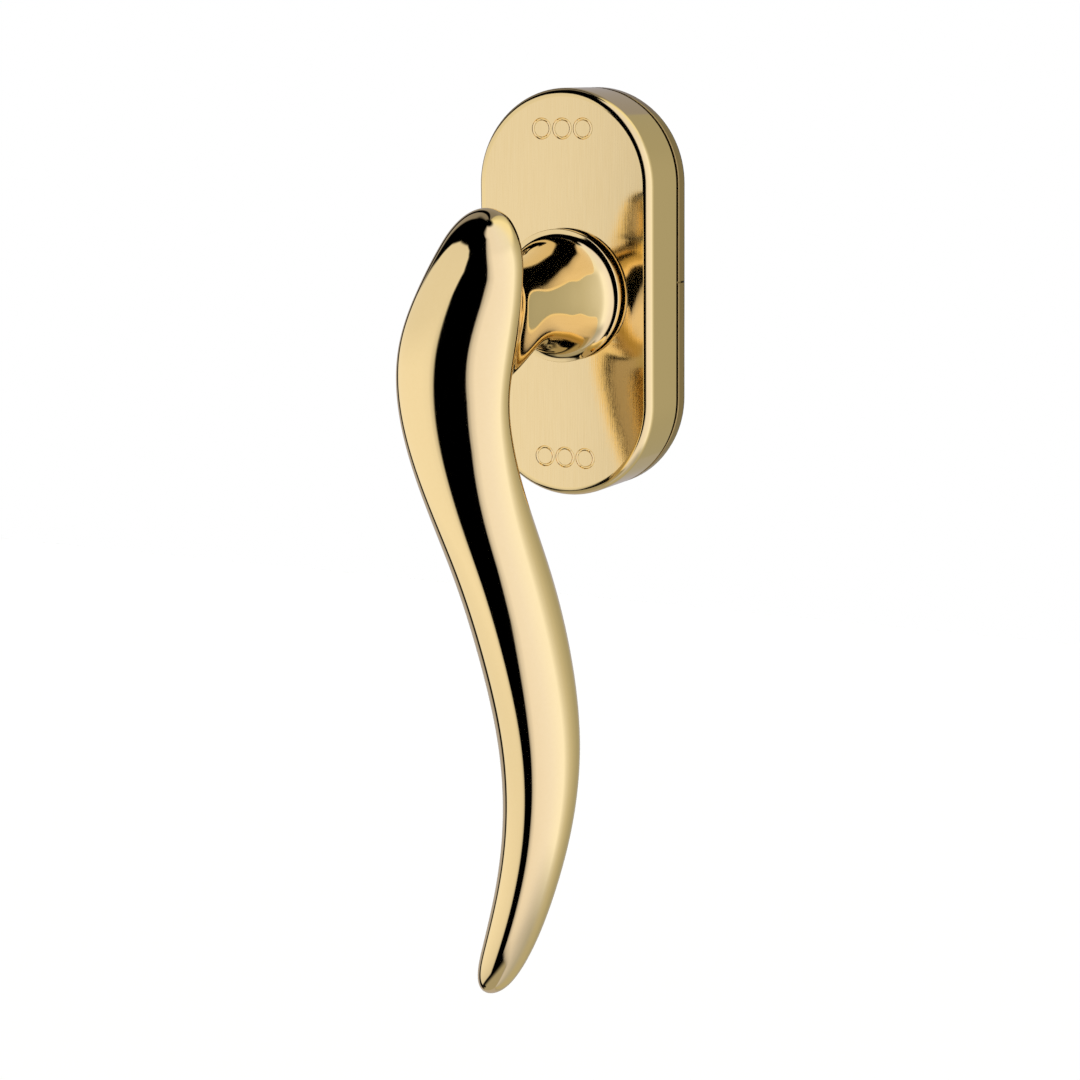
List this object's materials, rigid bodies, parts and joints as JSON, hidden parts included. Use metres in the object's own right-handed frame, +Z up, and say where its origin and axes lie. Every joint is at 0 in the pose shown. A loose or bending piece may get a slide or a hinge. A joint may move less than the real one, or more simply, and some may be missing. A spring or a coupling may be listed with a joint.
{
  "type": "window handle",
  "caption": "Tilt-and-turn window handle: a swaying round-section lever on a bell foot turns a square spindle in an oval rose whose face plate rocks when pressed.",
  "frame": {"origin": "centre of the rose on the window's surface, on the spindle's axis, midway between the two fixing screws", "axes": "+X to the user's right, +Y into the window along the spindle, +Z up; the user stands on the -Y side and the closed lever points down -Z"},
  "size_m": [0.0354, 0.0832, 0.149],
  "materials": {
    "polished_brass": "mirror polished, clear lacquer",
    "satin_brass": "fine upright brush on the face, polished edge",
    "pad_elastomer": "matt",
    "cast_zinc": "as cast, tumbled",
    "black_nylon": "moulded, matt",
    "acetal": "moulded, smooth",
    "zinc_steel": "bright zinc plated",
    "spring_steel": "drawn, oiled",
    "bearing_steel": "ground and polished"
  },
  "bodies": {
    "base": {"backing_pad": "pad_elastomer", "base_frame": "polished_brass", "mechanism_housing": "cast_zinc", "locating_pegs": "black_nylon", "fixing_screws": "zinc_steel", "housing_rivets": "zinc_steel", "bearing_bush": "acetal", "thrust_washer": "acetal", "spring_washer": "spring_steel", "pivot_pins": "zinc_steel", "detent_spring_upper": "spring_steel", "detent_spring_lower": "spring_steel", "bolt_spring_right": "spring_steel", "bolt_spring_left": "spring_steel", "plate_springs_upper": "spring_steel", "plate_springs_lower": "spring_steel"},
    "lever": {"lever_handle": "polished_brass", "square_spindle": "zinc_steel", "spindle_pin": "zinc_steel", "detent_disc": "zinc_steel", "retaining_ring": "spring_steel"},
    "plate": {"cover_plate": "satin_brass", "cover_carrier": "black_nylon"},
    "bolt": {"lock_bolt": "zinc_steel"},
    "ball_upper": {"detent_ball_upper": "bearing_steel"},
    "ball_lower": {"detent_ball_lower": "bearing_steel"}
  },
  "joints": [
    {"name": "lever_turn", "type": "hinge", "parent": "base", "child": "lever", "pos_m": [0, 0, 0], "axis": [0, -1, 0], "range_deg": [0, 180]},
    {"name": "plate_rock", "type": "hinge", "parent": "base", "child": "plate", "pos_m": [0, -0.005, 0], "axis": [1, 0, 0], "range_deg": [-0.8, 0.8], "stiffness_Nm_per_rad": 7, "deforming": ["plate_springs_upper", "plate_springs_lower"]},
    {"name": "bolt_slide", "type": "slide", "parent": "base", "child": "bolt", "axis": [0, 0, 1], "range_m": [0, 0.0012], "deforming": ["bolt_spring_right", "bolt_spring_left"]},
    {"name": "upper_ball_click", "type": "slide", "parent": "base", "child": "ball_upper", "axis": [0, -1, 0], "range_m": [0, 0.00045], "deforming": ["detent_spring_upper"]},
    {"name": "lower_ball_click", "type": "slide", "parent": "base", "child": "ball_lower", "axis": [0, -1, 0], "range_m": [0, 0.00045], "deforming": ["detent_spring_lower"]}
  ]
}
